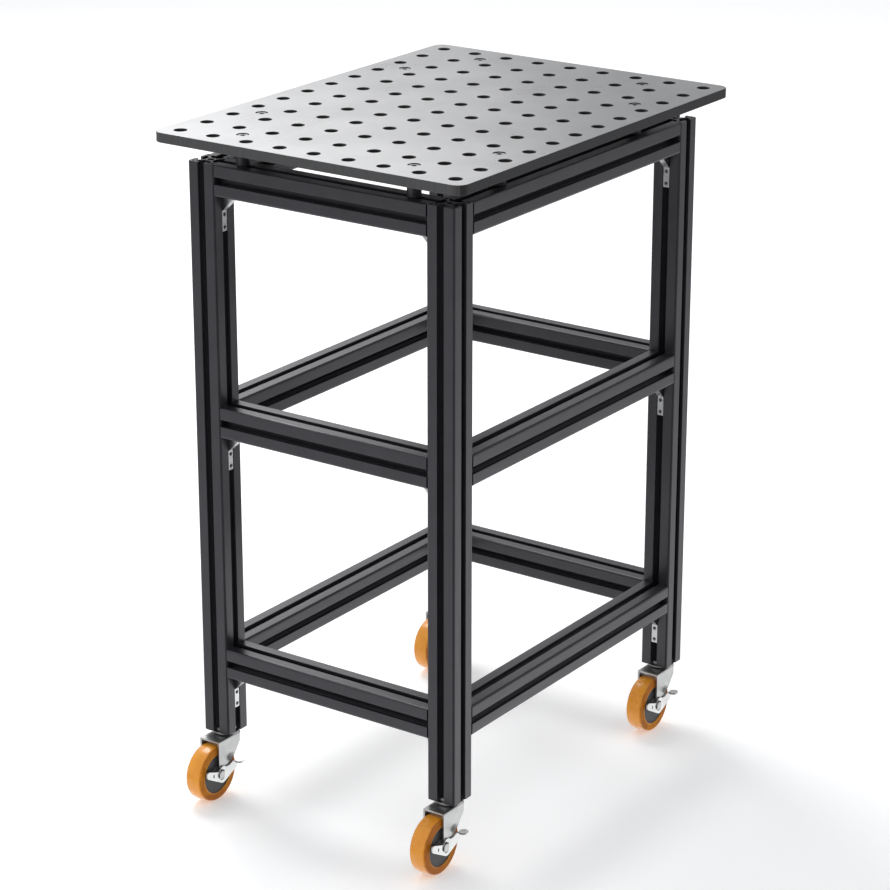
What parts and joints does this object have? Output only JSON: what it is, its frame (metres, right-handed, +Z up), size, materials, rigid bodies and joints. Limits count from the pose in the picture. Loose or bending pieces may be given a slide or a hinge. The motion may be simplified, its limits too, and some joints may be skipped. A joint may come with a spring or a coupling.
{
  "type": "mobile welding table",
  "caption": "Small rolling welding table: a drilled steel plate on spacers over an open slotted-profile frame with rail rings and braked swivel casters.",
  "frame": {"origin": "on the floor, under the middle of the whole table's box", "axes": "+X along the long side, away from the trailing wheels; +Y along the short side, from front to rear; +Z up"},
  "size_m": [0.631, 0.4572, 0.889],
  "materials": {
    "plate_steel": "bare ground steel with dark cut edges",
    "frame_black": "black anodised, satin",
    "bracket_zinc": "bright zinc plate",
    "caster_zinc": "bright zinc plate",
    "caster_tread": "glossy orange polyurethane on a dark grey core"
  },
  "bodies": {
    "frame": {"top_plate": "plate_steel", "post_front_left": "frame_black", "post_front_right": "frame_black", "post_rear_left": "frame_black", "post_rear_right": "frame_black", "rail_top_front": "frame_black", "bracket_top_front_left": "bracket_zinc", "bracket_top_front_right": "bracket_zinc", "rail_top_rear": "frame_black", "bracket_top_rear_left": "bracket_zinc", "bracket_top_rear_right": "bracket_zinc", "rail_top_left": "frame_black", "bracket_top_left_front": "bracket_zinc", "bracket_top_left_rear": "bracket_zinc", "rail_top_right": "frame_black", "bracket_top_right_front": "bracket_zinc", "bracket_top_right_rear": "bracket_zinc", "rail_middle_front": "frame_black", "bracket_middle_front_left": "bracket_zinc", "bracket_middle_front_right": "bracket_zinc", "rail_middle_rear": "frame_black", "bracket_middle_rear_left": "bracket_zinc", "bracket_middle_rear_right": "bracket_zinc", "rail_middle_left": "frame_black", "bracket_middle_left_front": "bracket_zinc", "bracket_middle_left_rear": "bracket_zinc", "rail_middle_right": "frame_black", "bracket_middle_right_front": "bracket_zinc", "bracket_middle_right_rear": "bracket_zinc", "rail_bottom_front": "frame_black", "bracket_bottom_front_left": "bracket_zinc", "bracket_bottom_front_right": "bracket_zinc", "rail_bottom_rear": "frame_black", "bracket_bottom_rear_left": "bracket_zinc", "bracket_bottom_rear_right": "bracket_zinc", "rail_bottom_left": "frame_black", "bracket_bottom_left_front": "bracket_zinc", "bracket_bottom_left_rear": "bracket_zinc", "rail_bottom_right": "frame_black", "bracket_bottom_right_front": "bracket_zinc", "bracket_bottom_right_rear": "bracket_zinc", "caster_front_left_mount": "caster_zinc", "caster_front_right_mount": "caster_zinc", "caster_rear_left_mount": "caster_zinc", "caster_rear_right_mount": "caster_zinc"},
    "swivel_front_left": {"caster_front_left_fork": "caster_zinc"},
    "wheel_front_left": {"caster_front_left_wheel": "caster_tread"},
    "brake_front_left": {"caster_front_left_brake_lever": "caster_zinc"},
    "swivel_front_right": {"caster_front_right_fork": "caster_zinc"},
    "wheel_front_right": {"caster_front_right_wheel": "caster_tread"},
    "brake_front_right": {"caster_front_right_brake_lever": "caster_zinc"},
    "swivel_rear_left": {"caster_rear_left_fork": "caster_zinc"},
    "wheel_rear_left": {"caster_rear_left_wheel": "caster_tread"},
    "brake_rear_left": {"caster_rear_left_brake_lever": "caster_zinc"},
    "swivel_rear_right": {"caster_rear_right_fork": "caster_zinc"},
    "wheel_rear_right": {"caster_rear_right_wheel": "caster_tread"},
    "brake_rear_right": {"caster_rear_right_brake_lever": "caster_zinc"}
  },
  "joints": [
    {"name": "swivel_turn_front_left", "type": "hinge", "parent": "frame", "child": "swivel_front_left", "pos_m": [-0.24335, -0.1778, 0.0381], "axis": [0, 0, 1], "continuous": true},
    {"name": "wheel_roll_front_left", "type": "hinge", "parent": "swivel_front_left", "child": "wheel_front_left", "pos_m": [-0.27735, -0.1778, 0.0381], "axis": [0, 1, 0], "continuous": true},
    {"name": "brake_press_front_left", "type": "hinge", "parent": "swivel_front_left", "child": "brake_front_left", "pos_m": [-0.27735, -0.1778, 0.0381], "axis": [0, 1, 0], "range_deg": [0, 20]},
    {"name": "swivel_turn_front_right", "type": "hinge", "parent": "frame", "child": "swivel_front_right", "pos_m": [0.26465, -0.1778, 0.0381], "axis": [0, 0, 1], "continuous": true},
    {"name": "wheel_roll_front_right", "type": "hinge", "parent": "swivel_front_right", "child": "wheel_front_right", "pos_m": [0.23065, -0.1778, 0.0381], "axis": [0, 1, 0], "continuous": true},
    {"name": "brake_press_front_right", "type": "hinge", "parent": "swivel_front_right", "child": "brake_front_right", "pos_m": [0.23065, -0.1778, 0.0381], "axis": [0, 1, 0], "range_deg": [0, 20]},
    {"name": "swivel_turn_rear_left", "type": "hinge", "parent": "frame", "child": "swivel_rear_left", "pos_m": [-0.24335, 0.1778, 0.0381], "axis": [0, 0, 1], "continuous": true},
    {"name": "wheel_roll_rear_left", "type": "hinge", "parent": "swivel_rear_left", "child": "wheel_rear_left", "pos_m": [-0.27735, 0.1778, 0.0381], "axis": [0, 1, 0], "continuous": true},
    {"name": "brake_press_rear_left", "type": "hinge", "parent": "swivel_rear_left", "child": "brake_rear_left", "pos_m": [-0.27735, 0.1778, 0.0381], "axis": [0, 1, 0], "range_deg": [0, 20]},
    {"name": "swivel_turn_rear_right", "type": "hinge", "parent": "frame", "child": "swivel_rear_right", "pos_m": [0.26465, 0.1778, 0.0381], "axis": [0, 0, 1], "continuous": true},
    {"name": "wheel_roll_rear_right", "type": "hinge", "parent": "swivel_rear_right", "child": "wheel_rear_right", "pos_m": [0.23065, 0.1778, 0.0381], "axis": [0, 1, 0], "continuous": true},
    {"name": "brake_press_rear_right", "type": "hinge", "parent": "swivel_rear_right", "child": "brake_rear_right", "pos_m": [0.23065, 0.1778, 0.0381], "axis": [0, 1, 0], "range_deg": [0, 20]}
  ]
}
